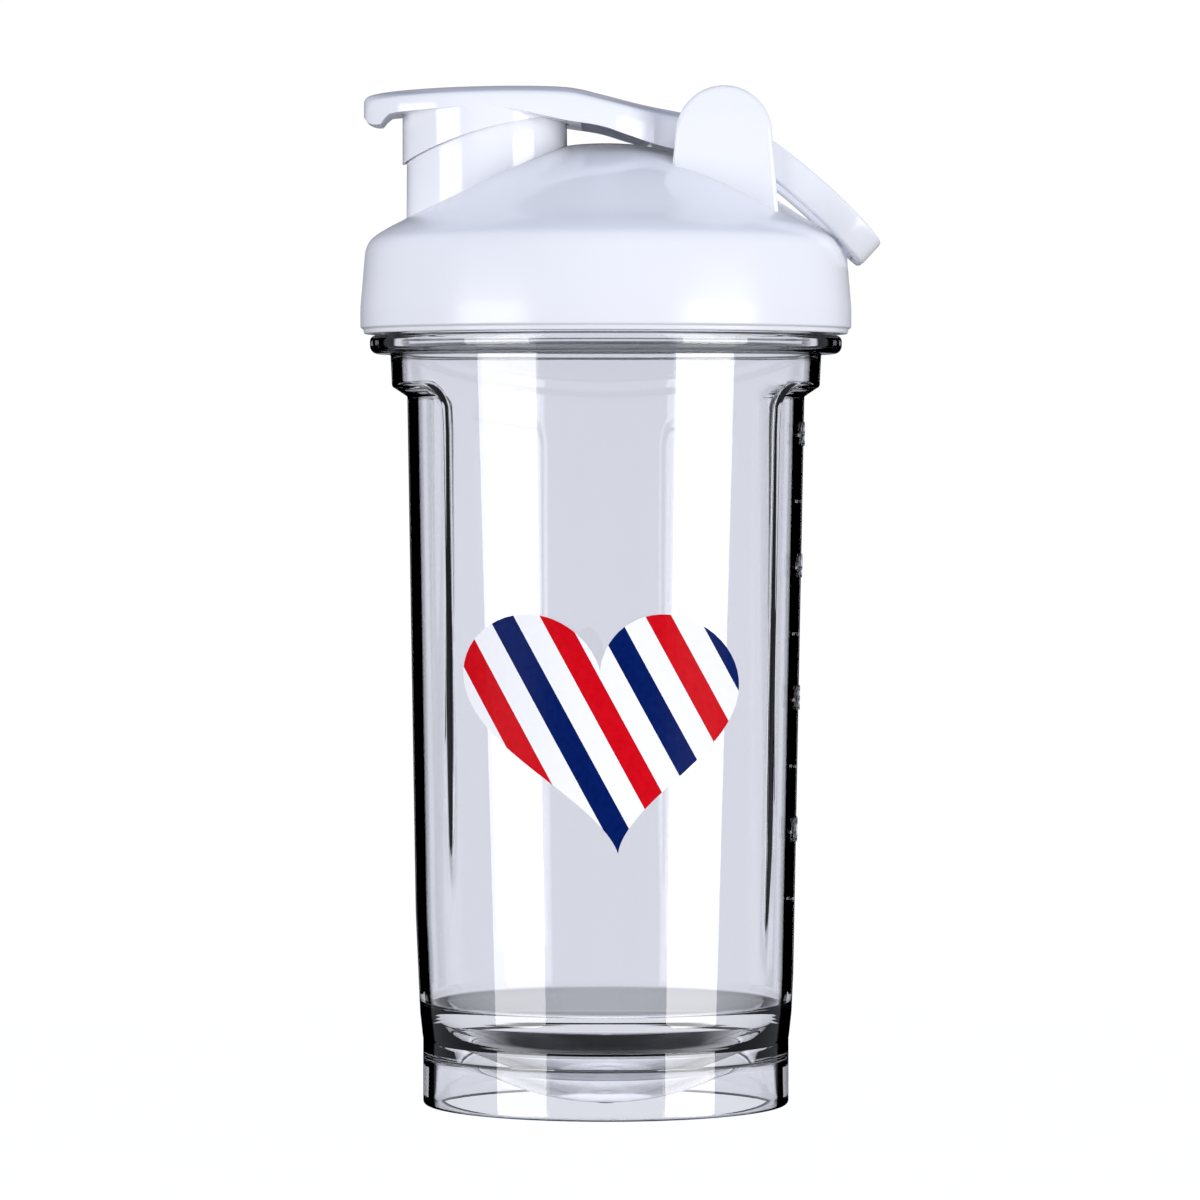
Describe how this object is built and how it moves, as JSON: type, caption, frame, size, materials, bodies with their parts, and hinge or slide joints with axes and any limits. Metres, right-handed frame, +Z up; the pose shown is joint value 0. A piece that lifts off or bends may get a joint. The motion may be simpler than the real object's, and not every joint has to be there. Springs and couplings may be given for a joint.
{
  "type": "protein shaker bottle",
  "caption": "Clear protein shaker: tapered cup with side grips, screw lid with a round spout, flip cap and hinged carry loop.",
  "frame": {"origin": "on the cup's axis, in the plane of the skirt's foot that the bottle stands on; the flat at the middle of the bowl's underside is 1 mm above it", "axes": "+Z up along the cup's axis; -X towards the spout and +X towards the hinge and carry loop; Y along the hinge pin"},
  "size_m": [0.1064, 0.1006, 0.2084],
  "materials": {
    "clear_plastic": "clear, polished",
    "white_plastic": "satin gloss",
    "silicone": "matte, translucent",
    "steel": "ground"
  },
  "bodies": {
    "cup": {"cup": "clear_plastic"},
    "gasket": {"lid_gasket": "silicone"},
    "lid": {"lid": "white_plastic", "hinge_pin": "steel"},
    "flip_cap": {"flip_cap": "white_plastic", "spout_seal": "silicone"},
    "carry_loop": {"carry_loop": "white_plastic"}
  },
  "joints": [
    {"name": "lid_lift", "type": "slide", "parent": "cup", "child": "gasket", "axis": [0, 0, 1], "range_m": [0, 0.018]},
    {"name": "lid_twist", "type": "hinge", "parent": "gasket", "child": "lid", "pos_m": [0, 0, 0.1577], "axis": [0, 0, 1], "range_deg": [0, 720]},
    {"name": "cap_hinge", "type": "hinge", "parent": "lid", "child": "flip_cap", "pos_m": [0.0238, 0, 0.1978], "axis": [0, 1, 0], "range_deg": [0, 175]},
    {"name": "loop_hinge", "type": "hinge", "parent": "lid", "child": "carry_loop", "pos_m": [0.0238, 0, 0.1978], "axis": [0, -1, 0], "range_deg": [0, 125]}
  ],
  "couplings": [
    {"joint": "lid_lift", "follows": "lid_twist", "m_per_rad": 0.0014324}
  ]
}
